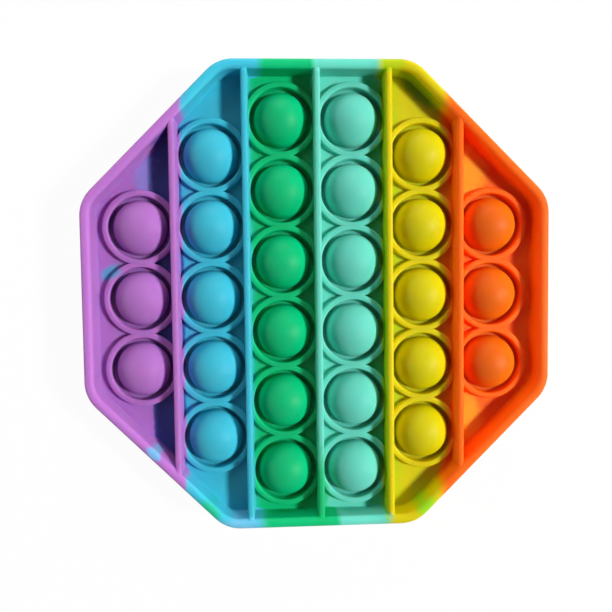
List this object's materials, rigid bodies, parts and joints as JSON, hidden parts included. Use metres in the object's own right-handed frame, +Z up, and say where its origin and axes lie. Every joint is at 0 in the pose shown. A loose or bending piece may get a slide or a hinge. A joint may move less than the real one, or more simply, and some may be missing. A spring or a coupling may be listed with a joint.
{
  "type": "bubble pop fidget toy",
  "caption": "Octagonal silicone fidget pad: columns of hollow bubbles that pop through, with a raised ring round each, between upright ribs and a deep rim.",
  "frame": {"origin": "centre of the underside, on the plane of the rim's lower face", "axes": "+Z up, out of the face that the bubbles stand on; +Y along the columns of bubbles; +X across them, from the purple side to the orange one"},
  "size_m": [0.125, 0.125, 0.015],
  "materials": {
    "silicone": "matt"
  },
  "bodies": {
    "root": {"bubble_pad": "silicone"}
  },
  "joints": []
}
